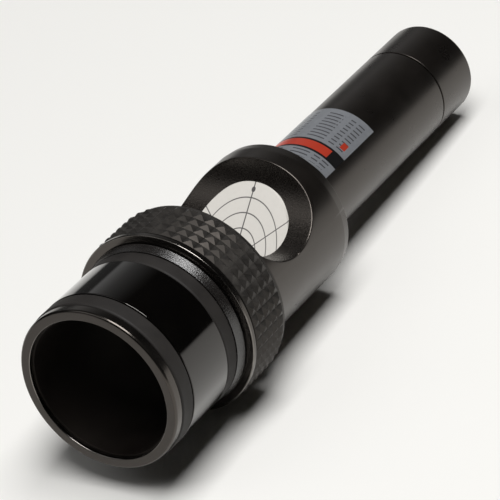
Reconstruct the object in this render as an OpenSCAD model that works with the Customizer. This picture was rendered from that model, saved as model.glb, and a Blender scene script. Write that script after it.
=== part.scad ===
// Laser collimator: a 2 inch expanding barrel, a viewing window with a 45 degree
// target, and a laser tube with a twist-to-switch tail cap. Millimetres.
// Y is the optical axis (mouth at -Y, tail at +Y), +Z is the window side,
// and the origin is on the axis at the middle of the floating sleeve.

/* [Barrel] */
// Outer diameter of the floating sleeve
barrel_d = 50.7; // [50.5:0.05:50.8]
// Length of the floating sleeve
sleeve_len = 17.8; // [14:0.1:20]
// Length of the front rubber ring
front_rubber_len = 5.6; // [4:0.1:8]
// Length of the rear rubber ring
rear_rubber_len = 5.4; // [4:0.1:8]
// Length of the nose ring at the mouth
nose_len = 3.1; // [2.5:0.1:5]
// Bore of the nose ring
mouth_d = 43.8; // [43:0.1:44]
// Bore of the long tube behind the nose ring
tube_bore_d = 42.8; // [41:0.1:43]

/* [Clamping ring] */
// Outer diameter of the knurled ring
ring_d = 57.5; // [56:0.1:60]
// Length of the knurled ring
ring_len = 18.4; // [15:0.1:20]
// Diameter of the pusher flange
flange_d = 52.2; // [51.5:0.1:54]
// Thickness of the pusher flange
flange_len = 3.2; // [2:0.1:4]
// Gap between the pusher flange and the knurled ring
groove_len = 0.3; // [0.2:0.1:1.5]
// How far the pusher moves to grip fully
clamp_travel = 1.25; // [0.8:0.05:1.5]

/* [Window body] */
// Outer diameter of the window body
body_d = 46.9; // [46:0.1:48]
// Length of the window body behind the knurled ring
body_len = 46; // [44:0.5:50]
// Bore of the window body
body_bore_d = 33.6; // [32:0.1:34.4]
// Radius of the scooped window cut
window_r = 18.5; // [17.5:0.1:19]
// Height of the window cut's own axis above the optical axis
window_h = 25; // [24:0.5:27]

/* [Laser tube] */
// Outer diameter of the laser tube and the tail cap
tube_d = 30.6; // [30:0.1:32]
// Length of the laser tube
tube_len = 77.2; // [76:0.5:84]
// Length of the tail cap
cap_len = 19.6; // [16:0.5:22]
// How far the tail cap backs off to switch the laser off
cap_travel = 0.75; // [0.5:0.05:1]

/* [Battery and laser] */
// Diameter of the battery
battery_d = 16.8; // [16:0.1:17]
// Length of the battery's can
battery_len = 33.5; // [32:0.5:34]
// Diameter of the laser module
module_d = 13; // [12:0.5:14]

/* [Hidden] */
$fn = 96;
eps = 0.05;                  // overlap that lets a cut break cleanly through
run_gap = 0.08;              // radial clearance of a sliding or turning fit
seat_gap = 0.03;             // radial clearance where two fixed pieces seat
face_gap = 0.1;              // visible joint line between two stacked rings

// Stations along the optical axis, from the mouth to the tail
sleeve_y0 = -sleeve_len / 2;
sleeve_y1 = sleeve_len / 2;
front_rubber_y0 = sleeve_y0 - front_rubber_len;
mouth_y = front_rubber_y0 - nose_len;
rear_rubber_y1 = sleeve_y1 + rear_rubber_len;
flange_y1 = rear_rubber_y1 + flange_len;
ring_y0 = flange_y1 + groove_len;
ring_y1 = ring_y0 + ring_len;
body_y0 = ring_y1 + 0.4;
body_y1 = body_y0 + body_len;
tube_y1 = body_y1 + tube_len;
cap_y0 = tube_y1 + 0.2;
cap_y1 = cap_y0 + cap_len;

// Barrel radii
barrel_r = barrel_d / 2;
nose_tube_r = 23.1;
nose_step_y = mouth_y + 1.5;
neck_r = 24.4;               // front neck of the window body, inside the knurled ring
neck_y0 = ring_y0 + 7;
spigot_r = 22.4;             // rear end of the nose tube, inside the neck
spigot_y1 = neck_y0 + 8;

// Clamping ring and pusher
ring_r = ring_d / 2;
skirt_r = 25.3;              // rear skirt of the pusher, inside the knurled ring
washer_len = 0.6;
skirt_y1 = neck_y0 - 0.8 - washer_len;
wire_r = 0.5;
wire_y = ring_y0 + 1.8;
pin_r = 1;
pin_y = wire_y;

// Window body and target
body_r = body_d / 2;
body_bore_r = body_bore_d / 2;
neck_y1 = ring_y1 - 1 - clamp_travel - 0.1;
target_y = body_y0 + 18.6;   // where the 45 degree face crosses the optical axis
beam_r = 1.5;                // hole the beam passes through
plate_t = 0.8;
rear_taper_len = 3.2;        // shallow taper at the rear of the body
wedge_y1 = target_y + 18.8;
wedge_screw_y = wedge_y1 - 5;
stop_screw_y = body_y0 + 4.4;
stop_screw_angle = 131;      // from the window side towards +X
tail_bore_r = 12;            // threaded hole in the body's rear wall

// Laser tube
tube_r = tube_d / 2;
tube_bore_r = 13.6;
socket_r = 13.9;             // rear socket of the laser tube, where the cap screws in
socket_len = 10;
carrier_y0 = body_y1 + 5;
carrier_len = 16;
module_r = module_d / 2;
module_y0 = body_y1 - 4;
module_y1 = carrier_y0 + carrier_len + 2;
carrier_rows = [carrier_y0 + 3, carrier_y0 + carrier_len - 3];
lens_pocket = 4.4;
diode_pocket = 9;
diode_y = module_y1 - diode_pocket + 2.3;
board_y0 = module_y1 + 6;
board_t = 1.6;
spring_pitch = 0.95;         // spacing of a spring's coils
battery_y0 = board_y0 + board_t + 6;
battery_y1 = battery_y0 + battery_len;
cap_spigot_y0 = cap_y0 - 9.6;
cap_bore_r = 11.5;
cap_ring_y = cap_y0 - 2;
cap_wall_y = cap_y1 - 4;     // inside face of the cap's rear wall
label_t = 0.07;
label_y0 = body_y1 + 8.5;
label_len = 29.8;
label_span = 102;            // degrees of the tube that the label wraps

// Turns children so that their Z axis runs along the optical axis, from station y
module along_axis(y = 0) {
    translate([0, y, 0]) rotate([-90, 0, 0]) children();
}

// A round tube between two stations, with a chamfer on each outer edge
module collar(y0, y1, r_out, r_in, front = 0, rear = 0) {
    along_axis() rotate_extrude() polygon([
        [r_in, y0], [r_out - front, y0], [r_out, y0 + front],
        [r_out, y1 - rear], [r_out - rear, y1], [r_in, y1]]);
}

// A solid round bar between two stations
module bar(y0, y1, r, front = 0, rear = 0) {
    collar(y0, y1, r, 0, front, rear);
}

// A wire ring or O-ring round the optical axis
module hoop(y, r_mid, r_section) {
    along_axis(y) rotate_extrude() translate([r_mid, 0]) circle(r_section, $fn = 48);
}

// Turns children's Z axis to point outwards at an angle from +Z towards +X, at station y
module outwards(y, angle = 0) {
    translate([0, y, 0]) rotate([0, angle, 0]) children();
}

// A grub screw along +Z with its hexagon socket on top
module grub_screw(r, len, z) {
    translate([0, 0, z]) difference() {
        cylinder(r = r, h = len, $fn = 32);
        translate([0, 0, len - r]) cylinder(r = r * 0.5, h = r + eps, $fn = 6);
    }
}

// Half space beyond the 45 degree target plane: side 1 is above it, side -1 is below it
module slope_side(side, lift = 0) {
    translate([0, target_y, 0]) rotate([45, 0, 0])
        translate([-60, -60, side > 0 ? lift : -120 + lift]) cube([120, 120, 120]);
}

// A close-wound spring between two stations, as a stack of touching coils
module spring(y0, y1, r_mid, r_section) {
    coils = floor((y1 - y0 - 2 * r_section) / spring_pitch);
    for (i = [0:coils]) hoop(y0 + r_section + i * spring_pitch, r_mid, r_section);
}

module nose_ring() color("dimgray") {
    collar(mouth_y, nose_step_y, 25, mouth_d / 2, 0.7, 0);
    collar(nose_step_y - eps, front_rubber_y0 - face_gap, 25, nose_tube_r + seat_gap, 0, 0.3);
}

module nose_tube() color("#1b1b1d") difference() {
    union() {
        collar(nose_step_y, neck_y0, nose_tube_r, tube_bore_d / 2);
        collar(neck_y0 - eps, spigot_y1, spigot_r, tube_bore_d / 2);
    }
    for (side = [90, -90]) outwards(pin_y, side) translate([0, 0, 15]) cylinder(r = pin_r, h = 12, $fn = 32);
}

module guide_pins() color("silver")
    for (side = [90, -90]) outwards(pin_y, side)
        translate([0, 0, tube_bore_d / 2 + 0.2]) cylinder(r = pin_r - seat_gap, h = 2.6, $fn = 32);

module front_rubber_ring() color("#2f2f30")
    collar(front_rubber_y0, sleeve_y0 - face_gap, barrel_r - 0.05, nose_tube_r + run_gap, 0.4, 0.4);

module floating_sleeve() color("#0d0d0f")
    collar(sleeve_y0, sleeve_y1, barrel_r, nose_tube_r + run_gap, 0.3, 0.3);

module rear_rubber_ring() color("#2f2f30")
    collar(sleeve_y1 + face_gap, rear_rubber_y1 - face_gap, barrel_r - 0.05, nose_tube_r + run_gap, 0.4, 0.4);

// Slot that lets the pusher slide past a guide pin without turning
module guide_slot() {
    for (shift = [0, clamp_travel])
        translate([0, shift, 20]) cylinder(r = pin_r + run_gap, h = 4.4, $fn = 32);
    translate([-pin_r - run_gap, 0, 20]) cube([2 * (pin_r + run_gap), clamp_travel, 4.4]);
}

module pusher_flange() color("#6f6f72") difference() {
    union() {
        along_axis() rotate_extrude() polygon([
            [nose_tube_r + run_gap, rear_rubber_y1], [barrel_r, rear_rubber_y1],
            [flange_d / 2, flange_y1 - 0.4], [flange_d / 2 - 0.3, flange_y1],
            [nose_tube_r + run_gap, flange_y1]]);
        collar(flange_y1 - eps, skirt_y1, skirt_r, nose_tube_r + run_gap);
    }
    hoop(wire_y, skirt_r, wire_r + seat_gap);
    for (side = [90, -90]) outwards(pin_y, side) guide_slot();
}

module thrust_washer() color("goldenrod")
    collar(skirt_y1, skirt_y1 + washer_len, skirt_r - 0.1, nose_tube_r + 0.2);

module retaining_wire() color("silver")
    hoop(wire_y, skirt_r, wire_r);

module knurled_ring() color("#3a3a3c") difference() {
    bar(ring_y0, ring_y1, ring_r, 0.9, 0.9);
    bar(ring_y0 - eps, skirt_y1 + washer_len, skirt_r + run_gap);
    bar(ring_y0, ring_y1 - 1, neck_r + run_gap);
    bar(ring_y0, ring_y1 + eps, body_r + 0.35);
    hoop(wire_y, skirt_r, wire_r + run_gap);
}

module window_body() color("#141416") difference() {
    along_axis() rotate_extrude() polygon([
        [0, neck_y0], [neck_r, neck_y0], [neck_r, neck_y1], [body_r, neck_y1],
        [body_r, body_y1 - rear_taper_len], [body_r - 0.7, body_y1], [0, body_y1]]);
    bar(neck_y0 - eps, spigot_y1, spigot_r + seat_gap);
    bar(spigot_y1 - eps, wedge_y1 + 0.1, body_bore_r);
    bar(wedge_y1, body_y1 + eps, tail_bore_r);
    translate([-40, target_y, window_h]) rotate([0, 90, 0]) cylinder(r = window_r, h = 80);
    for (side = [150, 210]) outwards(wedge_screw_y, side) cylinder(r = 1.5, h = 30, $fn = 32);
    outwards(stop_screw_y, stop_screw_angle) {
        cylinder(r = 1.5, h = 30, $fn = 32);
        translate([0, 0, body_r - 0.32]) cylinder(r = 3.3, h = 5);
    }
}

module target_wedge() color("#101012") difference() {
    bar(target_y - 20, wedge_y1, body_bore_r - seat_gap);
    slope_side(1, -plate_t - 0.02);
    bar(target_y - 20, wedge_y1 + eps, beam_r + 1);
}

module target_plate() color("whitesmoke") difference() {
    bar(target_y - 20, target_y + 20, body_bore_r - 0.15);
    slope_side(1);
    slope_side(-1, -plate_t);
    bar(target_y - 20, target_y + 20, beam_r);
}

module wedge_screws() color("#262628")
    for (side = [150, 210]) outwards(wedge_screw_y, side) grub_screw(1.47, 5, body_bore_r + 0.1);

module stop_screw() color("#4a4a4c") outwards(stop_screw_y, stop_screw_angle) difference() {
    union() {
        translate([0, 0, body_bore_r + 0.4]) cylinder(r = 1.47, h = body_r - body_bore_r, $fn = 32);
        translate([0, 0, body_r - 0.3]) cylinder(r = 3.2, h = 1.4, $fn = 48);
        translate([0, 0, body_r + 1.05]) cylinder(r1 = 3.2, r2 = 1.8, h = 1.6, $fn = 48);
    }
    translate([0, 0, body_r + 1]) cylinder(r = 1.15, h = 3, $fn = 6);
}

module laser_tube() color("#151517") difference() {
    union() {
        bar(wedge_y1 + 0.4, body_y1 + eps, tail_bore_r - seat_gap);
        bar(body_y1, tube_y1, tube_r, 0.2, 0.4);
    }
    bar(wedge_y1, carrier_y0, module_r + 2.5);
    bar(carrier_y0 - 2, tube_y1 - socket_len, tube_bore_r);
    bar(tube_y1 - socket_len - eps, tube_y1 + eps, socket_r);
}

module label() color("#c9ccd0") along_axis(label_y0) rotate([0, 0, -90 - label_span / 2])
    rotate_extrude(angle = label_span) translate([tube_r + 0.02, 0]) square([label_t, label_len]);

module module_carrier() color("#8d8f94") difference() {
    collar(carrier_y0, carrier_y0 + carrier_len, tube_bore_r - seat_gap, module_r + 1.2, 0.4, 0.4);
    for (y = carrier_rows, side = [0, 120, 240]) outwards(y, side) cylinder(r = 1, h = 20, $fn = 32);
}

module carrier_screws() color("#262628")
    for (y = carrier_rows, side = [0, 120, 240]) outwards(y, side) grub_screw(0.97, 5, module_r + 0.05);

module pivot_o_ring() color("#111111")
    hoop(body_y1 - 1.5, module_r + 1.25, 1.15);

module laser_module() color("#b08d4f") difference() {
    bar(module_y0, module_y1, module_r, 0.4, 0.4);
    bar(module_y0 - eps, module_y1 + eps, 2.4);
    bar(module_y0 - eps, module_y0 + lens_pocket, 4.8);
    bar(module_y1 - diode_pocket, module_y1 + eps, 4.8);
}

module lens_retainer() color("#9a7b43")
    collar(module_y0 + 0.3, module_y0 + 1.5, 4.8 - seat_gap, 3.2);

module collimating_lens() color("#b8d4e8", 0.5) intersection() {
    bar(module_y0 + 1.55, module_y0 + lens_pocket - 0.05, 4.8 - seat_gap);
    translate([0, module_y0 + 1.6 + 12, 0]) sphere(r = 12);
}

module laser_diode() color("#c8b06a") {
    bar(diode_y, diode_y + 1.2, 2.8);
    bar(diode_y - 2.2, diode_y + eps, 1.78);
    for (a = [90, 210, 330]) outwards(0, a) translate([0, diode_y + 1.1, 1])
        rotate([-90, 0, 0]) cylinder(r = 0.23, h = 6, $fn = 16);
}

module diode_retainer() color("#9a7b43")
    collar(diode_y + 1.25, diode_y + 3, 4.8 - seat_gap, 2);

module driver_board() color("#1d5a2e")
    bar(board_y0, board_y0 + board_t, tube_bore_r - 0.2);

module driver_chips() color("#202020")
    for (i = [0:3]) rotate([0, 90 * i + 30, 0])
        translate([4 - i * 0.4, board_y0 - 1.2 - i * 0.2, 2]) cube([4 - i * 0.4, 1.17 + i * 0.2, 3 + i * 0.5]);

module front_contact_spring() color("#d8b45a")
    spring(board_y0 + board_t + 0.02, battery_y0 - 1.1, 3.4, 0.5);

module battery_sleeve() color("#e8e6df")
    collar(board_y0 + board_t + 1, cap_spigot_y0 - 0.5, tube_bore_r - 0.05, battery_d / 2 + 0.15, 0.3, 0.3);

module battery_can() color("#5b7fa6")
    bar(battery_y0, battery_y1, battery_d / 2, 0.5, 0.5);

module battery_button() color("silver")
    bar(battery_y0 - 1, battery_y0 - 0.02, 3, 0.3, 0);

module tail_cap() color("#161618") difference() {
    union() {
        bar(cap_y0, cap_y1, tube_r, 0.3, 1.1);
        bar(cap_spigot_y0, cap_y0 + eps, socket_r - run_gap);
    }
    bar(cap_spigot_y0 - eps, cap_wall_y, cap_bore_r);
    collar(cap_ring_y - 0.65, cap_ring_y + 0.65, socket_r + 1, socket_r - 1.25);
    bar(cap_y1 - 0.5, cap_y1 + eps, tube_r - 3.5);
}

module cap_o_ring() color("#111111")
    hoop(cap_ring_y, socket_r - 0.65, 0.55);

module tail_spring() color("#c4c6c9")
    spring(battery_y1 + 1.75, cap_wall_y - 0.02, 4.2, 0.5);

module contact_plunger() color("#c79a45") {
    bar(battery_y1 + 0.1, battery_y1 + 1.7, 6, 0.3, 0.3);
    bar(battery_y1 + 1.6, cap_wall_y - 5, 2.2, 0, 0.5);
}

nose_ring();
nose_tube();
guide_pins();
front_rubber_ring();
floating_sleeve();
rear_rubber_ring();
pusher_flange();
thrust_washer();
retaining_wire();
knurled_ring();
window_body();
target_wedge();
target_plate();
wedge_screws();
stop_screw();
laser_tube();
label();
module_carrier();
carrier_screws();
pivot_o_ring();
laser_module();
lens_retainer();
collimating_lens();
laser_diode();
diode_retainer();
driver_board();
driver_chips();
front_contact_spring();
battery_sleeve();
battery_can();
battery_button();
tail_cap();
cap_o_ring();
tail_spring();
contact_plunger();
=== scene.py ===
"""Looks of the laser collimator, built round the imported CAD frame.

Everything is in metres. The optical axis is Y, the mouth is at -Y and the viewing window faces +Z.
"""
import math

import bmesh
import bpy
import numpy as np
from mathutils import Matrix, Vector


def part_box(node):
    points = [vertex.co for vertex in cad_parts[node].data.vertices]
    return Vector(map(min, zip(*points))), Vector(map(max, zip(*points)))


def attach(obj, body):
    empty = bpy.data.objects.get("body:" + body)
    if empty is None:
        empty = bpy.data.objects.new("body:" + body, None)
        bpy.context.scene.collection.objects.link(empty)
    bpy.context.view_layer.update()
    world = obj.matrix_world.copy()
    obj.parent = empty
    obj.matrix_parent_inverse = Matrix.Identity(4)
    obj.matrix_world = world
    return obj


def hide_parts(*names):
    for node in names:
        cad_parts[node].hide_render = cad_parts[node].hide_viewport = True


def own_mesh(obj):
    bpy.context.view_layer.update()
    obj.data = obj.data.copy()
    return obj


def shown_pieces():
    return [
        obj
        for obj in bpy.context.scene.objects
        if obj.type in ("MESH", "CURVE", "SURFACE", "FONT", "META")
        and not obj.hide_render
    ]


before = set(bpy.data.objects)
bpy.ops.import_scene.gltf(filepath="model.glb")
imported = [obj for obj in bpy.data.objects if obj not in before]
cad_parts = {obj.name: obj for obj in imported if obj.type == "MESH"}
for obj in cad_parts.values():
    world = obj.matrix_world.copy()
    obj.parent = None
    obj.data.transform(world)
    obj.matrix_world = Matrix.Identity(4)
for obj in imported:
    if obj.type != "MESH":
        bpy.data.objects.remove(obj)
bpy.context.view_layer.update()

MM = 0.001
SEGMENTS = 192                # facets round a turned part
SHARP = math.radians(32)      # edges that turn more than this stay crisp

# ---------------------------------------------------------------- sizes read from the frame


def span_y(node):
    """First and last station of a node along the optical axis."""
    low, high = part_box(node)
    return low[1], high[1]


def radius(node):
    """Outer radius of a turned node."""
    low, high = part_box(node)
    return (high[0] - low[0]) / 2


NOSE = span_y("nose_ring")
FRONT_RUBBER = span_y("front_rubber_ring")
SLEEVE = span_y("floating_sleeve")
REAR_RUBBER = span_y("rear_rubber_ring")
PUSHER = span_y("pusher_flange")
WASHER = span_y("thrust_washer")
RING = span_y("knurled_ring")
BODY = span_y("window_body")
WEDGE = span_y("target_wedge")
TUBE = span_y("laser_tube")
CAP = span_y("tail_cap")

BARREL_R = radius("floating_sleeve")
RING_R = radius("knurled_ring")
TUBE_R = radius("laser_tube")
BORE_R = radius("target_wedge") + 0.03 * MM
NOSE_TUBE_R = radius("nose_tube")

# sizes that a node's box doesn't tell
RUN_GAP = 0.08 * MM           # clearance of a running fit
MOUTH_R = 21.9 * MM           # bore of the nose ring
TUBE_BORE_R = 21.4 * MM       # bore of the nose tube
BODY_R = 23.45 * MM           # window body behind the ring
NECK_R = 24.4 * MM            # its neck, inside the knurled ring
SPIGOT_R = 22.4 * MM          # rear end of the nose tube, inside the neck
SPIGOT_LEN = 8 * MM
SKIRT_R = 25.3 * MM           # rear skirt of the pusher, inside the knurled ring
FLANGE_END = PUSHER[0] + 3.2 * MM    # rear of the flange proper, where the skirt begins
RING_FRONT = FLANGE_END + 0.3 * MM   # front face of the knurled ring
RING_LIP = 1.0 * MM           # inward lip at the rear of the knurled ring
LIP_GAP = 0.35 * MM           # clearance of that lip round the body
TAPER = 3.2 * MM              # shallow taper at the rear of the body
TAPER_DROP = 0.4 * MM
BODY_START = RING[1] + 0.4 * MM
TARGET_Y = BODY_START + 18.6 * MM    # where the 45 degree target crosses the axis
WINDOW_R = 18.5 * MM          # radius of the scooped window cut
WINDOW_H = 25.0 * MM          # height of that cut's own axis
TUBE_START = BODY[1]          # where the laser tube comes out of the body
CAP_START = CAP[0] + 9.6 * MM        # joint line in front of the cap


# ---------------------------------------------------------------- materials


WARM = (1.0, 0.89, 0.8, 1)      # tint of the reflections in black anodising
ROUND_AXIS = (0.02, 1, 0.02)    # draws noise out round the optical axis, like a lathe tool's marks


def scaled(color, factor):
    """A colour made lighter or darker."""
    return tuple(min(1, c * factor) for c in color)


class Shader:
    """A Principled material and short ways to wire procedural detail into it."""

    def __init__(self, name, color, roughness, metallic=0.0, specular=0.5):
        self.mat = bpy.data.materials.new(name)
        self.mat.use_nodes = True
        self.nodes = self.mat.node_tree.nodes
        self.links = self.mat.node_tree.links
        self.bsdf = self.nodes["Principled BSDF"]
        self.set("Base Color", (*color, 1))
        self.set("Roughness", roughness)
        self.set("Metallic", metallic)
        self.set("Specular IOR Level", specular)

    def set(self, socket, value):
        self.bsdf.inputs[socket].default_value = value

    def node(self, kind, **settings):
        made = self.nodes.new(kind)
        for key, value in settings.items():
            setattr(made, key, value)
        return made

    def plug(self, source, target):
        self.links.new(source, target)

    def coords(self, scale=(1, 1, 1)):
        """Object coordinates, stretched by scale."""
        place = self.node("ShaderNodeTexCoord")
        mapping = self.node("ShaderNodeMapping")
        mapping.inputs["Scale"].default_value = scale
        self.plug(place.outputs["Object"], mapping.inputs["Vector"])
        return mapping.outputs["Vector"]

    def noise(self, scale, detail=3.0, stretch=(1, 1, 1)):
        texture = self.node("ShaderNodeTexNoise")
        texture.inputs["Scale"].default_value = scale
        texture.inputs["Detail"].default_value = detail
        self.plug(self.coords(stretch), texture.inputs["Vector"])
        return texture.outputs["Fac"]

    def remap(self, value, low, high, start=0.0, end=1.0):
        """value from start..end becomes low..high."""
        ramp = self.node("ShaderNodeMapRange")
        ramp.inputs["From Min"].default_value = start
        ramp.inputs["From Max"].default_value = end
        ramp.inputs["To Min"].default_value = low
        ramp.inputs["To Max"].default_value = high
        self.plug(value, ramp.inputs["Value"])
        return ramp.outputs["Result"]

    def math(self, operation, a, b=0.0):
        """One step of arithmetic; a and b are numbers or sockets."""
        made = self.node("ShaderNodeMath", operation=operation)
        for socket, value in zip(made.inputs, (a, b)):
            if isinstance(value, (int, float)):
                socket.default_value = value
            else:
                self.plug(value, socket)
        return made.outputs[0]

    def blend(self, share, first, second):
        """Mixes two colours; each is a tuple or a socket."""
        mix = self.node("ShaderNodeMix", data_type="RGBA")
        self.plug(share, mix.inputs[0])
        for socket, value in ((mix.inputs[6], first), (mix.inputs[7], second)):
            if isinstance(value, tuple):
                socket.default_value = (*value, 1)
            else:
                self.plug(value, socket)
        return mix.outputs[2]

    def color_from(self, socket):
        self.plug(socket, self.bsdf.inputs["Base Color"])

    def rough_from(self, socket):
        self.plug(socket, self.bsdf.inputs["Roughness"])

    def bump(self, heights, distance):
        """heights is a list of (socket, strength); each layer goes on top of the last."""
        last = None
        for socket, strength in heights:
            made = self.node("ShaderNodeBump")
            made.inputs["Strength"].default_value = strength
            made.inputs["Distance"].default_value = distance
            self.plug(socket, made.inputs["Height"])
            if last is not None:
                self.plug(last, made.inputs["Normal"])
            last = made.outputs["Normal"]
        self.plug(last, self.bsdf.inputs["Normal"])


def anodised(name, color, rough_low, rough_high, grain=0.12, coat=0.0, specular=0.7):
    """Black anodised aluminium: fine turning marks round the axis and a faint uneven sheen."""
    made = Shader(name, color, rough_low, specular=specular)
    clouds = made.noise(90, 4)
    turning = made.noise(1200, 2, stretch=ROUND_AXIS)
    grit = made.noise(5200, 2)
    made.rough_from(made.remap(clouds, rough_low, rough_high, 0.3, 0.7))
    lighter = scaled(color, 1.7)
    made.color_from(made.blend(made.remap(clouds, 0, 1, 0.35, 0.75), color, lighter))
    made.bump([(turning, grain), (grit, grain * 0.8)], 0.00002)
    made.set("Specular Tint", WARM)
    if coat:
        made.set("Coat Weight", coat)
        made.set("Coat Roughness", 0.06)
    return made.mat


def milled_wall():
    """Wall of the window cut: dark and grainy, as the cutter left it."""
    made = Shader("milled_wall", (0.006, 0.005, 0.0045), 0.28, specular=0.75)
    grains = made.noise(2600, 2)
    made.rough_from(made.remap(grains, 0.2, 0.36, 0.3, 0.7))
    dark, light = (0.0045, 0.0038, 0.0033), (0.0085, 0.0073, 0.0065)
    made.color_from(made.blend(made.noise(300, 3), dark, light))
    made.bump([(grains, 0.8)], 0.0001)
    made.set("Specular Tint", WARM)
    return made.mat


def blasted_metal():
    """Bead blasted pusher flange: a dark skin full of tiny bright facets."""
    made = Shader("blasted_metal", (0.012, 0.011, 0.01), 0.3, specular=0.75)
    made.set("IOR", 1.6)
    sparkle = made.noise(3200, 2)
    clouds = made.noise(260, 3)
    made.rough_from(made.remap(sparkle, 0.18, 0.3, 0.3, 0.7))
    dark, light = (0.008, 0.007, 0.0065), (0.016, 0.014, 0.013)
    made.color_from(made.blend(made.remap(clouds, 0, 1, 0.3, 0.7), dark, light))
    made.bump([(sparkle, 0.8), (clouds, 0.05)], 0.00009)
    return made.mat


def worn_edge():
    """A rubbed edge, where handling has thinned the black to a dull grey metal."""
    made = Shader("worn_edge", (0.16, 0.15, 0.14), 0.2, metallic=1.0)
    wear = made.noise(220, 3)
    made.rough_from(made.remap(wear, 0.16, 0.24, 0.3, 0.7))
    dark, light = (0.15, 0.138, 0.127), (0.24, 0.225, 0.21)
    made.color_from(made.blend(made.remap(wear, 0, 1, 0.35, 0.65), dark, light))
    made.bump([(made.noise(6000, 2), 0.04)], 0.00001)
    return made.mat


def knurl_metal():
    """Anodised knurl: satin faces with slightly rubbed tips."""
    made = Shader("knurled_metal", (0.02, 0.019, 0.018), 0.4, specular=0.36)
    clouds = made.noise(420, 4)
    grit = made.noise(3600, 2)
    made.rough_from(made.remap(clouds, 0.36, 0.5, 0.3, 0.7))
    dark, light = (0.017, 0.016, 0.015), (0.031, 0.029, 0.027)
    made.color_from(made.blend(made.remap(clouds, 0, 1, 0.35, 0.7), dark, light))
    made.bump([(grit, 0.2)], 0.00003)
    made.set("Specular Tint", WARM)
    return made.mat


def rubber():
    """Matt black rubber with a fine grit."""
    made = Shader("rubber", (0.028, 0.028, 0.028), 0.62, specular=0.35)
    grit = made.noise(2600, 5)
    clouds = made.noise(160, 4)
    made.rough_from(made.remap(clouds, 0.55, 0.72, 0.3, 0.7))
    dark, light = (0.0115, 0.0098, 0.0088), (0.019, 0.0163, 0.0147)
    made.color_from(made.blend(made.remap(clouds, 0, 1, 0.3, 0.7), dark, light))
    made.bump([(grit, 0.6)], 0.00006)
    return made.mat


def target_print():
    """White target with fine grey rings, an upright line with a dot, and two slanting lines."""
    ring_step = 3.3 * MM
    ring_count = 4
    thin = 0.24 * MM
    thick = 0.36 * MM
    dot_height = 15.0 * MM
    dot_r = 0.62 * MM
    slant = math.atan(math.sqrt(2))     # of the two slanting lines, as seen along the axis
    edge = 0.05 * MM                    # soft edge of the ink
    ink_color = (0.09, 0.085, 0.085)
    made = Shader("target_white", (0.75, 0.72, 0.67), 0.55, specular=0.3)
    split = made.node("ShaderNodeSeparateXYZ")
    made.plug(made.coords(), split.inputs[0])
    x, z = split.outputs[0], split.outputs[2]
    square_x = made.math("MULTIPLY", x, x)
    square_z = made.math("MULTIPLY", z, z)
    from_centre = made.math("SQRT", made.math("ADD", square_x, square_z))

    def ink(distance, width):
        """1 inside half the width, falling to 0 just outside it."""
        return made.remap(made.math("ABSOLUTE", distance), 1, 0, width / 2 - edge, width / 2 + edge)

    layers = []
    for k in range(1, ring_count + 1):
        layers.append(ink(made.math("SUBTRACT", from_centre, ring_step * k), thin))
    layers.append(ink(x, thick))
    for side in (1, -1):
        sideways = made.math("MULTIPLY", x, math.cos(slant) * side)
        upwards = made.math("MULTIPLY", z, math.sin(slant))
        layers.append(ink(made.math("SUBTRACT", sideways, upwards), thin))
    above = made.math("SUBTRACT", z, dot_height)
    to_dot = made.math("SQRT", made.math("ADD", square_x, made.math("MULTIPLY", above, above)))
    layers.append(ink(to_dot, 2 * dot_r))
    total = layers[0]
    for layer in layers[1:]:
        total = made.math("MAXIMUM", total, layer)
    paper = made.blend(made.noise(700, 3), (0.72, 0.69, 0.64), (0.77, 0.74, 0.69))
    made.color_from(made.blend(total, paper, ink_color))
    made.bump([(made.noise(2400, 3), 0.12)], 0.00002)
    return made.mat


def label_print(start, length, half_angle):
    """Silver foil with plain dark bars, a black band with a plain red stripe, and a red square."""
    bar_grey = (0.09, 0.09, 0.1)
    band_black = (0.012, 0.012, 0.013)
    stripe_red = (0.62, 0.06, 0.03)
    square_red = (0.6, 0.06, 0.03)
    bar_rows = 17.0
    made = Shader("label_foil", (0.4, 0.41, 0.43), 0.3, metallic=0.45)
    split = made.node("ShaderNodeSeparateXYZ")
    made.plug(made.coords(), split.inputs[0])
    angle = made.math("ARCTAN2", split.outputs[0], split.outputs[2])
    down = made.remap(split.outputs[1], 0, 1, start, start + length)
    across = made.remap(angle, 0, 1, -half_angle, half_angle)

    def between(value, low, high):
        """1 where value lies between low and high."""
        over = made.math("GREATER_THAN", value, low)
        return made.math("MULTIPLY", over, made.math("LESS_THAN", value, high))

    def box(across_low, across_high, down_low, down_high):
        """1 inside a rectangle, given in shares of the label's width and length."""
        wide = between(across, across_low, across_high)
        return made.math("MULTIPLY", wide, between(down, down_low, down_high))

    bar_noise = made.noise(500, 1, stretch=(1, 0.02, 1))
    rows = made.math("FRACT", made.math("MULTIPLY", down, bar_rows))
    row_ink = between(rows, 0.3, 0.62)
    broken = made.math("GREATER_THAN", bar_noise, 0.43)
    bars = made.math("MULTIPLY", row_ink, broken)
    long_field = box(0.06, 0.92, 0.42, 0.95)
    short_field = box(0.06, 0.92, 0.03, 0.16)
    grey_bars = made.math("MULTIPLY", bars, made.math("ADD", long_field, short_field))
    band = box(-1, 2, 0.185, 0.375)
    stripe = box(0.08, 0.84, 0.215, 0.345)
    square = box(0.86, 0.93, 0.46, 0.56)
    printed = made.blend(made.noise(900, 3), (0.25, 0.26, 0.28), (0.33, 0.345, 0.37))
    layers = ((grey_bars, bar_grey), (band, band_black), (stripe, stripe_red), (square, square_red))
    for where, color in layers:
        printed = made.blend(where, printed, color)
    made.color_from(printed)
    made.rough_from(made.remap(made.noise(300, 3), 0.24, 0.42))
    made.bump([(made.noise(1500, 2), 0.05)], 0.00002)
    return made.mat


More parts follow.
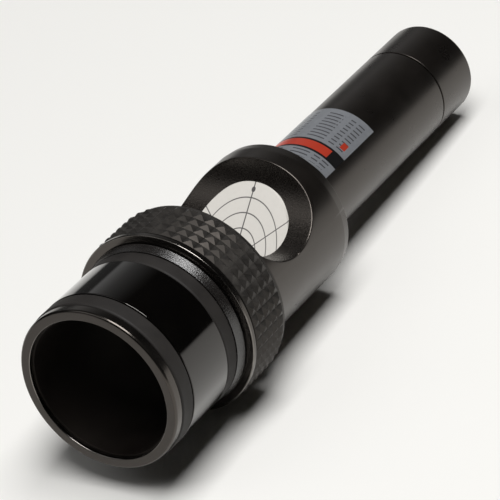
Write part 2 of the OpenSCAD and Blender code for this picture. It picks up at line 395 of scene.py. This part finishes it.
def turned_metal(name, color, rough):
    """Bare turned metal of the inner pieces."""
    made = Shader(name, color, rough, metallic=1.0)
    made.rough_from(made.remap(made.noise(300, 4), rough * 0.8, rough * 1.3))
    made.bump([(made.noise(1600, 2, stretch=ROUND_AXIS), 0.15)], 0.00002)
    return made.mat


def moulded(name, color, rough):
    """Plastic with a faint uneven gloss."""
    made = Shader(name, color, rough)
    clouds = made.noise(240, 4)
    made.rough_from(made.remap(clouds, rough * 0.85, rough * 1.2))
    made.color_from(made.blend(clouds, color, scaled(color, 1.15)))
    made.bump([(made.noise(2200, 2), 0.1)], 0.00002)
    return made.mat


def glass():
    """Clear glass of the collimating lens."""
    made = Shader("glass", (0.9, 0.95, 1.0), 0.03)
    made.set("Transmission Weight", 1.0)
    made.set("IOR", 1.52)
    made.bump([(made.noise(800, 2), 0.01)], 0.00001)
    return made.mat


SATIN = anodised("anodised_satin", (0.0038, 0.0032, 0.0028), 0.26, 0.33, specular=0.8)
GLOSS = anodised("anodised_gloss", (0.0014, 0.0012, 0.0011), 0.06, 0.1, grain=0.03, coat=0.7, specular=0.3)
RIM = anodised("anodised_rim", (0.003, 0.0027, 0.0025), 0.16, 0.24, specular=0.9)
BORE = anodised("anodised_bore", (0.0025, 0.0017, 0.0014), 0.5, 0.65, specular=0.25)
MATT = anodised("anodised_matt", (0.026, 0.023, 0.021), 0.5, 0.6, grain=0.2, specular=0.6)
WINDOW_WALL = milled_wall()
WORN_EDGE = worn_edge()
RUBBER = rubber()
BLASTED = blasted_metal()
KNURL = knurl_metal()
BLACK_SCREW = anodised("screw_black", (0.03, 0.03, 0.032), 0.3, 0.4)
STEEL = turned_metal("steel", (0.6, 0.6, 0.62), 0.25)
BRASS = turned_metal("brass", (0.72, 0.52, 0.24), 0.28)
BARE = turned_metal("bare_aluminium", (0.78, 0.79, 0.81), 0.3)
TARGET = target_print()

# ---------------------------------------------------------------- mesh helpers


def rounded(outline, steps=4):
    """Closed outline of (y, r, fillet) corners, in metres; each fillet becomes a short arc."""
    points = []
    count = len(outline)
    for i, (y, r, fillet) in enumerate(outline):
        corner = Vector((y, r))
        if not fillet:
            points.append(corner)
            continue
        before = (Vector(outline[i - 1][:2]) - corner).normalized()
        after = (Vector(outline[(i + 1) % count][:2]) - corner).normalized()
        half = before.angle(after) / 2
        reach = fillet / math.tan(half)
        centre = corner + (before + after).normalized() * fillet / math.sin(half)
        start = corner + before * reach - centre
        end = corner + after * reach - centre
        turn = start.angle_signed(end)
        for k in range(steps + 1):
            spoke = start.copy()
            spoke.rotate(Matrix.Rotation(-turn * k / steps, 2))
            points.append(centre + spoke)
    return points


def add_piece(name, bm, material, smooth=True):
    """Turns a bmesh into an object with crisp edges where faces meet at an angle."""
    bmesh.ops.remove_doubles(bm, verts=bm.verts, dist=1e-7)
    bmesh.ops.dissolve_degenerate(bm, edges=bm.edges, dist=1e-8)
    bmesh.ops.recalc_face_normals(bm, faces=bm.faces)
    for face in bm.faces:
        face.smooth = smooth
    for edge in bm.edges:
        edge.smooth = edge.calc_face_angle(0) < SHARP
    mesh = bpy.data.meshes.new(name)
    bm.to_mesh(mesh)
    bm.free()
    piece = bpy.data.objects.new(name, mesh)
    bpy.context.scene.collection.objects.link(piece)
    mesh.materials.append(material)
    if smooth:
        weighted = piece.modifiers.new("normals", "WEIGHTED_NORMAL")
        weighted.keep_sharp = True
    return piece


def belongs(piece, body, node):
    """The piece stands for a CAD node and moves with its body."""
    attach(piece, body)
    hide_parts(node)


def lathe_mesh(points, segments=SEGMENTS):
    """Turns a closed (y, r) outline round the optical axis."""
    bm = bmesh.new()
    rings = []
    for y, r in points:
        ring = []
        for k in range(segments):
            turn = 2 * math.pi * k / segments
            ring.append(bm.verts.new((r * math.sin(turn), y, r * math.cos(turn))))
        rings.append(ring)
    for i, ring in enumerate(rings):
        following = rings[(i + 1) % len(rings)]
        for k in range(segments):
            after = (k + 1) % segments
            bm.faces.new((ring[k], ring[after], following[after], following[k]))
    return bm


def turned(name, outline, material):
    """A turned part from an outline of (y, r, fillet) corners."""
    return add_piece(name, lathe_mesh(rounded(outline)), material)


# ---------------------------------------------------------------- barrel


def nose_ring():
    """Mouth ring: a flat matt face between a rubbed inner edge and a well rounded rim."""
    y0, y1 = NOSE
    step = y0 + 1.5 * MM                 # where the nose tube butts against the ring
    seat_r = NOSE_TUBE_R + 0.03 * MM
    r = radius("nose_ring")
    inner_fillet = 0.3 * MM
    outline = [
        (y0, MOUTH_R, inner_fillet),
        (y0, r, 0.85 * MM),
        (y1, r, 0.15 * MM),
        (y1, seat_r, 0),
        (step, seat_r, 0),
        (step, MOUTH_R, 0.1 * MM),
    ]
    piece = turned("nose_ring_turned", outline, RIM)
    piece.data.materials.append(MATT)
    piece.data.materials.append(WORN_EDGE)
    for face in piece.data.polygons:
        inner = math.hypot(face.center.x, face.center.z) < MOUTH_R + inner_fillet + 0.02 * MM
        flat = face.normal.y < -0.98
        face.material_index = 1 if flat else 2 if inner else 0
    belongs(piece, "core", "nose_ring")


def nose_tube():
    """The long bored tube that carries the rings and ends in a spigot inside the body's neck."""
    y0, y1 = span_y("nose_tube")
    neck = y1 - SPIGOT_LEN
    outline = [
        (y0, TUBE_BORE_R, 0.15 * MM),
        (y0, NOSE_TUBE_R, 0),
        (neck, NOSE_TUBE_R, 0.1 * MM),
        (neck, SPIGOT_R, 0),
        (y1, SPIGOT_R, 0),
        (y1, TUBE_BORE_R, 0.3 * MM),
    ]
    piece = turned("nose_tube_turned", outline, BORE)
    belongs(piece, "core", "nose_tube")


def rubber_ring(node, body, y_range):
    """A soft square-section ring with rounded shoulders."""
    y0, y1 = y_range
    r = radius(node)
    shoulder = 0.7 * MM
    inner = NOSE_TUBE_R + RUN_GAP
    outline = [(y0, inner, 0), (y0, r, shoulder), (y1, r, shoulder), (y1, inner, 0)]
    piece = turned(node + "_soft", outline, RUBBER)
    belongs(piece, body, node)


def floating_sleeve():
    """The glossy stretch of barrel between the two rubber rings."""
    y0, y1 = SLEEVE
    inner = NOSE_TUBE_R + RUN_GAP
    outline = [
        (y0, inner, 0.1 * MM),
        (y0, BARREL_R, 0.25 * MM),
        (y1, BARREL_R, 0.25 * MM),
        (y1, inner, 0.1 * MM),
    ]
    piece = turned("floating_sleeve_turned", outline, GLOSS)
    belongs(piece, "sleeve", "floating_sleeve")


def pusher_flange():
    """A conical flange that widens towards the knurled ring, and the skirt that runs inside the ring."""
    y0, y1 = PUSHER
    inner = NOSE_TUBE_R + RUN_GAP
    r = radius("pusher_flange")
    outline = [
        (y0, inner, 0),
        (y0, BARREL_R - 0.05 * MM, 0.06 * MM),
        (FLANGE_END - 0.4 * MM, r, 0.2 * MM),
        (FLANGE_END, r - 0.3 * MM, 0.1 * MM),
        (FLANGE_END, SKIRT_R, 0.1 * MM),
        (y1, SKIRT_R, 0.1 * MM),
        (y1, inner, 0),
    ]
    piece = turned("pusher_flange_turned", outline, BLASTED)
    belongs(piece, "pusher", "pusher_flange")


# ---------------------------------------------------------------- knurled ring


def knurled_ring():
    """A ring with a square knurl: blunt pyramids between crossing grooves along and round the axis."""
    columns = 48
    rows = 5
    phase = math.radians(0.9)          # turn of the first column
    tip = 0.13                         # a pyramid's flat tip, as a share of its cell
    tip_r = RING_R - 0.02 * MM
    root_r = RING_R - 0.85 * MM        # foot of the pyramids
    rows_start = 2.5 * MM              # from the front face to the first row
    land_len = 1.35 * MM               # plain polished land at the front, nearly as high as the tips
    land_r = RING_R - 0.3 * MM
    groove_r = RING_R - 1.9 * MM       # deep groove between the land and the first row
    rear_land_len = 1.2 * MM
    fillet = 0.3 * MM                  # front edge of the land
    fillet_steps = 4
    chamfer = 0.3 * MM                 # rear edge of the ring
    y0, y1 = RING_FRONT, RING[1]
    start = y0 + rows_start
    pitch = (y1 - rear_land_len - start) / rows
    step = 2 * math.pi / columns
    bm = bmesh.new()

    def at(r, y, column):
        """A vertex at a radius, a station and a column, which may be a fraction."""
        turn = phase + column * step
        return bm.verts.new((r * math.sin(turn), y, r * math.cos(turn)))

    square = ((0, 0), (1, 0), (1, 1), (0, 1))
    for i in range(rows):
        for j in range(columns):
            low = [at(root_r, start + (i + v) * pitch, j + u) for u, v in square]
            near = [(0.5 + (u - 0.5) * tip, 0.5 + (v - 0.5) * tip) for u, v in square]
            top = [at(tip_r, start + (i + v) * pitch, j + u) for u, v in near]
            bm.faces.new(top)
            for k in range(4):
                n = (k + 1) % 4
                bm.faces.new((low[k], low[n], top[n], top[k]))
    lip_y = y1 - RING_LIP
    front_land = [
        (start, root_r),
        (start, groove_r),
        (y0 + land_len + 0.1 * MM, groove_r),
        (y0 + land_len, land_r),
    ]
    for k in range(fillet_steps + 1):
        sweep = math.pi / 2 * k / fillet_steps
        y = y0 + fillet * (1 - math.sin(sweep))
        front_land.append((y, land_r - fillet * (1 - math.cos(sweep))))
    bore = [
        (y0, SKIRT_R + RUN_GAP),
        (WASHER[1], SKIRT_R + RUN_GAP),
        (WASHER[1], NECK_R + RUN_GAP),
        (lip_y, NECK_R + RUN_GAP),
        (lip_y, BODY_R + LIP_GAP),
        (y1, BODY_R + LIP_GAP),
    ]
    rear_land = [(y1, root_r - chamfer), (y1 - chamfer, root_r), (y1 - rear_land_len, root_r)]
    profile = front_land + bore + rear_land
    parts = 4                      # facets of the plain faces for each column of the knurl
    for (ya, ra), (yb, rb) in zip(profile, profile[1:]):
        for j in range(columns * parts):
            u, v = j / parts, (j + 1) / parts
            bm.faces.new((at(ra, ya, u), at(ra, ya, v), at(rb, yb, v), at(rb, yb, u)))
    piece = add_piece("knurled_ring_cut", bm, KNURL)
    piece.data.materials.append(RIM)
    piece.data.materials.append(WORN_EDGE)
    for face in piece.data.polygons:
        centre = face.center
        on_fillet = centre.y < y0 + fillet and math.hypot(centre.x, centre.z) > land_r - fillet
        on_land = centre.y < y0 + land_len
        face.material_index = 2 if on_fillet else 1 if on_land else 0
    belongs(piece, "clamp_ring", "knurled_ring")


# ---------------------------------------------------------------- window body


def half_cut(z, cut_r):
    """Half the window's length along the axis at height z, for a cut of radius cut_r."""
    return np.sqrt(np.maximum(cut_r ** 2 - (WINDOW_H - z) ** 2, 0))


def body_columns(corner_angles, fine=110, coarse=60):
    """Angles round the body from -180 to 180 degrees, closer together where the window ends."""
    widest = max(corner_angles)
    inside = widest * np.sin(np.linspace(-math.pi / 2, math.pi / 2, fine))
    outside = np.linspace(widest, 2 * math.pi - widest, coarse)
    sharp = [side * a for side in (-1, 1) for a in corner_angles]
    every = np.concatenate([inside, outside, sharp])
    every = np.unique(np.round(every, 7))
    return every[every < math.tau - widest - 1e-6]


def window_body():
    """The milled housing: a round body, its scooped window with a soft rim, and the bore behind it."""
    rim = 0.3 * MM                     # round edge of the window
    rim_steps = 3
    wall_steps = 12
    ring_travel = 1.35 * MM            # room for the ring's lip to come forwards
    y_front = RING[1] - RING_LIP - ring_travel
    y_spigot = BODY[0] + SPIGOT_LEN
    y_rear = BODY[1]
    y_taper = y_rear - TAPER
    y_wall = WEDGE[1] + 0.1 * MM       # rear wall, behind the target wedge
    wall_top = BODY_R - rim
    floor_z = WINDOW_H - WINDOW_R      # lowest height the window cut reaches
    end_outer = math.acos((floor_z - rim) / BODY_R)
    end_wall = math.acos(floor_z / wall_top)
    end_bore = math.acos(floor_z / BORE_R)
    turn = body_columns([end_outer, end_wall, end_bore])
    count = len(turn)
    bm = bmesh.new()

    def curve(r, y):
        """One vertex for each column, at radius r and station y; both may vary by column."""
        r = np.broadcast_to(r, turn.shape)
        y = np.broadcast_to(y, turn.shape)
        return [bm.verts.new((a * math.sin(t), b, a * math.cos(t))) for a, b, t in zip(r, y, turn)]

    def strip(first, second, limit=None):
        """Faces between two curves, only where the columns stay within limit of the window's middle."""
        for k in range(count):
            n = (k + 1) % count
            if limit is not None and (max(abs(turn[k]), abs(turn[n])) > limit + 1e-6 or n == 0):
                continue
            bm.faces.new((first[k], first[n], second[n], second[k]))

    def skin(curves, limit=None):
        """Faces between each curve and the next."""
        for a, b in zip(curves, curves[1:]):
            strip(a, b, limit)

    def sheet(r, y_from, y_to, steps):
        """A round surface between two ends that may vary by column."""
        skin([curve(r, y_from + (y_to - y_from) * k / steps) for k in range(steps + 1)])

    cos_turn = np.cos(turn)
    rim_levels = []
    for k in range(rim_steps + 1):
        sweep = math.pi / 2 * k / rim_steps
        cut_r = WINDOW_R + rim * (1 - math.sin(sweep))
        rim_levels.append((BODY_R - rim * (1 - math.cos(sweep)), cut_r))
    wall_foot = np.maximum(BORE_R, floor_z / np.maximum(cos_turn, 0.2))
    wall_foot = np.minimum(wall_foot, wall_top)
    for side, y_end, bore_end in ((-1, y_front, y_spigot), (1, y_taper, y_wall)):
        reach = half_cut(BODY_R * cos_turn, WINDOW_R + rim)
        sheet(BODY_R, np.full(count, y_end), TARGET_Y + side * reach, 6)
        skin([curve(r, TARGET_Y + side * half_cut(r * cos_turn, cut)) for r, cut in rim_levels], end_outer)
        walls = []
        for k in range(wall_steps + 1):
            r = wall_top + (wall_foot - wall_top) * k / wall_steps
            walls.append(curve(r, TARGET_Y + side * half_cut(r * cos_turn, WINDOW_R)))
        skin(walls, end_wall)
        reach = half_cut(BORE_R * cos_turn, WINDOW_R)
        sheet(BORE_R, np.full(count, bore_end), TARGET_Y + side * reach, 4)
    front = [
        (y_front, BODY_R),
        (y_front, NECK_R),
        (BODY[0], NECK_R),
        (BODY[0], SPIGOT_R),
        (y_spigot, SPIGOT_R),
        (y_spigot, BORE_R),
    ]
    tail_bore = 12 * MM
    low_r = BODY_R - TAPER_DROP
    rear = [
        (y_taper, BODY_R),
        (y_taper + 0.3 * MM, BODY_R - 0.1 * MM),
        (y_rear - 0.25 * MM, low_r),
        (y_rear - 0.07 * MM, low_r - 0.07 * MM),
        (y_rear, low_r - 0.25 * MM),
        (y_rear, tail_bore),
        (y_wall, tail_bore),
        (y_wall, BORE_R),
    ]
    for profile in (front, rear):
        skin([curve(r, y) for y, r in profile])
    piece = add_piece("window_body_milled", bm, SATIN)
    piece.data.materials.append(WINDOW_WALL)
    for face in piece.data.polygons:
        centre = face.center
        outwards = math.hypot(centre.x, centre.z)
        cut = math.hypot(centre.y - TARGET_Y, centre.z - WINDOW_H)
        on_cut = abs(cut - WINDOW_R) < 0.02 * MM and BORE_R < outwards < wall_top
        face.material_index = 1 if on_cut else 0
    belongs(piece, "core", "window_body")


# ---------------------------------------------------------------- laser tube, cap and label


def laser_tube():
    """The round tube, with a spigot in the body, a socket for the cap and a fine groove at the cap."""
    spigot = 11.97 * MM
    bore = 9.0 * MM
    socket = 13.9 * MM
    y0, y1 = TUBE
    socket_floor = y1 - 10 * MM
    groove = y1 - 0.45 * MM
    groove_r = TUBE_R - 0.5 * MM
    outline = [
        (y0, bore, 0),
        (y0, spigot, 0),
        (TUBE_START, spigot, 0),
        (TUBE_START, TUBE_R, 0.15 * MM),
        (groove, TUBE_R, 0.12 * MM),
        (groove, groove_r, 0),
        (y1, groove_r, 0),
        (y1, socket, 0),
        (socket_floor, socket, 0),
        (socket_floor, bore, 0),
    ]
    piece = turned("laser_tube_turned", outline, SATIN)
    belongs(piece, "core", "laser_tube")


def tail_cap():
    """The twist cap: a spigot inside the tube, a closed end and a shallow recess in its face."""
    y0, y1 = CAP
    spigot = 13.82 * MM
    bore = 11.5 * MM
    wall = y1 - 4 * MM                 # inner face of the closed end
    recess = y1 - 0.5 * MM
    recess_r = TUBE_R - 3.5 * MM
    outline = [
        (y0, bore, 0),
        (y0, spigot, 0.2 * MM),
        (CAP_START, spigot, 0),
        (CAP_START, TUBE_R, 0.2 * MM),
        (y1, TUBE_R, 1.2 * MM),
        (y1, recess_r, 0.2 * MM),
        (recess, recess_r, 0.15 * MM),
        (recess, 0, 0),
        (wall, 0, 0),
        (wall, bore, 0),
    ]
    piece = turned("tail_cap_turned", outline, SATIN)
    belongs(piece, "cap", "tail_cap")


def label():
    """A thin foil wrapped on the tube."""
    low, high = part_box("label")
    inner = TUBE_R + 0.02 * MM
    outer = TUBE_R + 0.1 * MM
    half = math.asin((high[0] - low[0]) / 2 / high[2])
    steps = 64
    bm = bmesh.new()
    grid = []
    for r in (inner, outer):
        for y in (low[1], high[1]):
            line = []
            for k in range(steps + 1):
                turn = -half + 2 * half * k / steps
                line.append(bm.verts.new((r * math.sin(turn), y, r * math.cos(turn))))
            grid.append(line)
    order = [grid[0], grid[1], grid[3], grid[2]]
    for i in range(4):
        a, b = order[i], order[(i + 1) % 4]
        for k in range(steps):
            bm.faces.new((a[k], a[k + 1], b[k + 1], b[k]))
    for k in (0, steps):
        bm.faces.new([line[k] for line in order])
    piece = add_piece("label_foil_wrap", bm, label_print(low[1], high[1] - low[1], half))
    belongs(piece, "core", "label")


# ---------------------------------------------------------------- carried-over CAD nodes


def finish_nodes():
    """Gives each CAD node that stays a procedural material."""
    board = moulded("circuit_board", (0.03, 0.16, 0.06), 0.3)
    chips = moulded("chip_plastic", (0.02, 0.02, 0.02), 0.4)
    liner = moulded("liner_plastic", (0.75, 0.74, 0.7), 0.45)
    wrap = moulded("battery_wrap", (0.07, 0.15, 0.28), 0.3)
    lens = glass()
    looks = {
        "guide_pins": STEEL, "thrust_washer": BRASS, "retaining_wire": STEEL, "target_wedge": SATIN,
        "target_plate": TARGET, "wedge_screws": BLACK_SCREW, "stop_screw": BLACK_SCREW,
        "module_carrier": BARE, "carrier_screws": BLACK_SCREW, "pivot_o_ring": RUBBER,
        "laser_module": BRASS, "lens_retainer": BRASS, "collimating_lens": lens, "laser_diode": BRASS,
        "diode_retainer": BRASS, "driver_board": board, "driver_chips": chips,
        "front_contact_spring": BRASS, "battery_sleeve": liner, "battery_can": wrap,
        "battery_button": STEEL, "cap_o_ring": RUBBER, "tail_spring": STEEL, "contact_plunger": BRASS,
    }
    for name, material in looks.items():
        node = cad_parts[name]
        if not node.material_slots:
            raise ValueError(name + " has no material slot")
        for place in node.material_slots:
            place.link = "OBJECT"
            place.material = material


# ---------------------------------------------------------------- stage, light and camera

WINDOW_LEAN = math.radians(-3.0)   # how far the window leans from straight up as the tool lies
CAMERA_ROLL = math.radians(10.1)   # how far the camera's upright leans from the window's, about the axis


def across_axis(turn):
    """Direction square to the line from the knurled ring to the cap, turned from +Z about the axis."""
    drop = (RING_R - TUBE_R) / (CAP[1] - RING[1])
    lean = math.atan(drop)
    return Vector((math.sin(turn) * math.cos(lean), -math.sin(lean), math.cos(turn) * math.cos(lean)))


UP = across_axis(WINDOW_LEAN)      # the tool lies on its knurled ring and the edge of its cap
CAMERA_UP = across_axis(CAMERA_ROLL)
AIM = Vector((1.1, 62.8, -1.1)) * MM
EYE = Vector((396.3, -529.1, 417.7)) * MM
LENS = 205.0                       # focal length in mm, on a sensor 36 mm wide
MIDDLE = Vector((0, (NOSE[0] + CAP[1]) / 2, 0))


def to_view(forward, up):
    """Rotation that looks along forward with up at the top."""
    back = -forward.normalized()
    right = up.cross(back).normalized()
    top = back.cross(right)
    return Matrix((right, top, back)).transposed()


def add_camera():
    """The one camera: it stands at EYE, looks at AIM and has CAMERA_UP at the top."""
    data = bpy.data.cameras.new("camera")
    data.lens = LENS
    data.sensor_width = 36.0
    data.clip_start = 0.01
    data.dof.use_dof = False
    camera = bpy.data.objects.new("camera", data)
    camera.matrix_world = Matrix.Translation(EYE) @ to_view(AIM - EYE, CAMERA_UP).to_4x4()
    bpy.context.scene.collection.objects.link(camera)
    bpy.context.scene.camera = camera


def lowest_along(up):
    """Height of the object's lowest point along up."""
    lowest = math.inf
    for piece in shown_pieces():
        if piece.type != "MESH":
            continue
        for vertex in piece.data.vertices:
            lowest = min(lowest, (piece.matrix_world @ vertex.co).dot(up))
    return lowest


def add_floor():
    """A broad pale table under the tool."""
    made = Shader("table_white", (0.9, 0.89, 0.86), 0.6, specular=0.25)
    made.rough_from(made.remap(made.noise(12, 3), 0.55, 0.65))
    side = Vector((1, 0, 0)).cross(UP).normalized()
    across = UP.cross(side).normalized()
    base = UP * lowest_along(UP)
    half_size = 12.0
    bm = bmesh.new()
    corners = []
    for a, b in ((-1, -1), (1, -1), (1, 1), (-1, 1)):
        corners.append(base + (across * a + side * b) * half_size)
    bm.faces.new([bm.verts.new(c) for c in corners])
    floor = add_piece("table", bm, made.mat, smooth=False)


def add_softbox(name, toward, irradiance, distance, width, length):
    """A rectangular soft light over the middle of the tool, its long side along the tool."""
    data = bpy.data.lights.new(name, "AREA")
    data.shape = "RECTANGLE"
    data.size = width
    data.size_y = length
    data.energy = irradiance * math.pi * distance ** 2
    lamp = bpy.data.objects.new(name, data)
    toward = Vector(toward).normalized()
    facing = to_view(-toward, Vector((0, 1, 0))).to_4x4()
    lamp.matrix_world = Matrix.Translation(MIDDLE + toward * distance) @ facing
    bpy.context.scene.collection.objects.link(lamp)


def add_room():
    """A dark studio with a pale backdrop far behind on the left and a white card at the front left."""
    world = bpy.data.worlds.new("room")
    world.use_nodes = True
    nodes, links = world.node_tree.nodes, world.node_tree.links
    place = nodes.new("ShaderNodeTexCoord")

    def ramp_along(direction, stops):
        """A grey level from how closely a ray points in the given direction."""
        toward = nodes.new("ShaderNodeVectorMath")
        toward.operation = "DOT_PRODUCT"
        toward.inputs[1].default_value = direction
        links.new(place.outputs["Generated"], toward.inputs[0])
        ramp = nodes.new("ShaderNodeValToRGB")
        while len(ramp.color_ramp.elements) < len(stops):
            ramp.color_ramp.elements.new(0.5)
        for stop, (position, level) in zip(ramp.color_ramp.elements, stops):
            stop.position = position
            stop.color = (level, level, level, 1)
        links.new(toward.outputs["Value"], ramp.inputs["Fac"])
        return ramp.outputs["Color"]

    def combine(operation, first, second):
        """Adds or multiplies two levels; the second may be a plain colour."""
        made = nodes.new("ShaderNodeVectorMath")
        made.operation = operation
        links.new(first, made.inputs[0])
        if isinstance(second, tuple):
            made.inputs[1].default_value = second
        else:
            links.new(second, made.inputs[1])
        return made.outputs["Vector"]

    far_left = Vector((-0.64, 0.77, 0))
    front_left = Vector((-0.5, -0.5, 0.7)).normalized()
    dim = (0.007, 0.007, 0.0066)
    height = ramp_along(UP, ((0.0, 0.05), (0.24, 0.05), (0.29, 0.4), (0.6, 0.35), (0.8, 0.0)))
    side = ramp_along(far_left, ((0.0, 0.0), (0.62, 0.0), (0.86, 0.55), (0.95, 1.0)))
    card = ramp_along(front_left, ((0.0, 0.0), (0.92, 0.0), (0.97, 0.7)))
    total = combine("ADD", combine("MULTIPLY", height, side), card)
    total = combine("ADD", total, dim)
    links.new(total, nodes["Background"].inputs["Color"])
    bpy.context.scene.world = world


def light_scene():
    """The studio, with one long softbox overhead."""
    add_room()
    add_softbox("overhead", (0.16, -0.15, 0.97), 3.7, distance=2.0, width=0.95, length=1.7)
    bpy.context.scene.view_settings.view_transform = "Standard"


# ---------------------------------------------------------------- build

nose_ring()
nose_tube()
rubber_ring("front_rubber_ring", "core", FRONT_RUBBER)
floating_sleeve()
rubber_ring("rear_rubber_ring", "sleeve", REAR_RUBBER)
pusher_flange()
knurled_ring()
window_body()
laser_tube()
label()
tail_cap()
finish_nodes()

for soft, (near, far) in (("front_rubber_ring_soft", FRONT_RUBBER), ("rear_rubber_ring_soft", REAR_RUBBER)):
    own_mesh(bpy.data.objects[soft])

add_camera()
add_floor()
light_scene()
